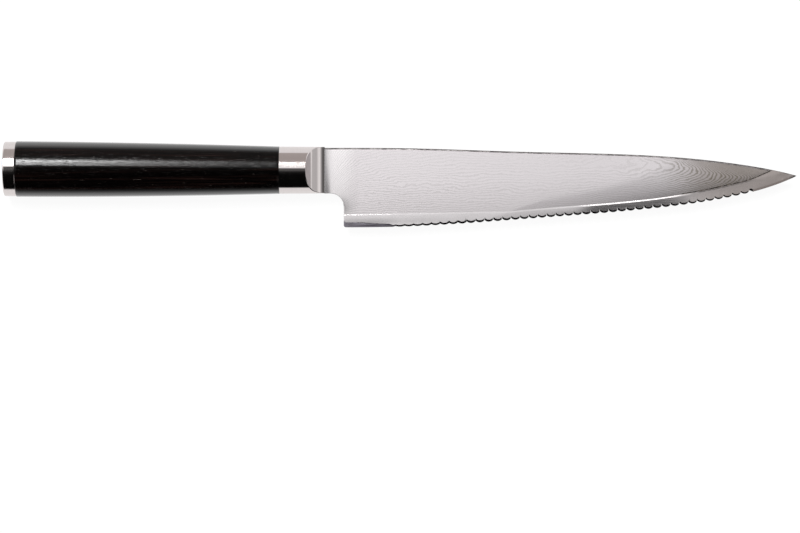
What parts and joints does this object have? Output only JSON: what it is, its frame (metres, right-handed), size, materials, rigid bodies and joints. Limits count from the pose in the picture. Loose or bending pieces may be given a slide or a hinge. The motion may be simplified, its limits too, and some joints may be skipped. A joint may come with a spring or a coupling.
{
  "type": "tomato knife",
  "caption": "Serrated kitchen knife with a clad blade, a scooped steel bolster, a D-section laminated wood grip and a steel end cap.",
  "frame": {"origin": "under the middle of the knife's box, on the surface that it lies on with its left side down", "axes": "+X along the knife from the butt to the tip, +Y from the cutting edge towards the spine, +Z out of the blade's right face"},
  "size_m": [0.2643, 0.0288, 0.0143],
  "materials": {
    "core_steel": "satin, fine-ground",
    "layered_steel": "satin, etched layer lines",
    "bolster_steel": "polished with fine brushing",
    "tang_steel": "as rolled",
    "grip_wood": "resin-filled, polished black",
    "adhesive_resin": "cured epoxy"
  },
  "bodies": {
    "root": {"blade_core": "core_steel", "cladding_right": "layered_steel", "cladding_left": "layered_steel", "bolster": "bolster_steel", "tang": "tang_steel", "end_cap": "bolster_steel", "grip": "grip_wood", "adhesive": "adhesive_resin"}
  },
  "joints": []
}
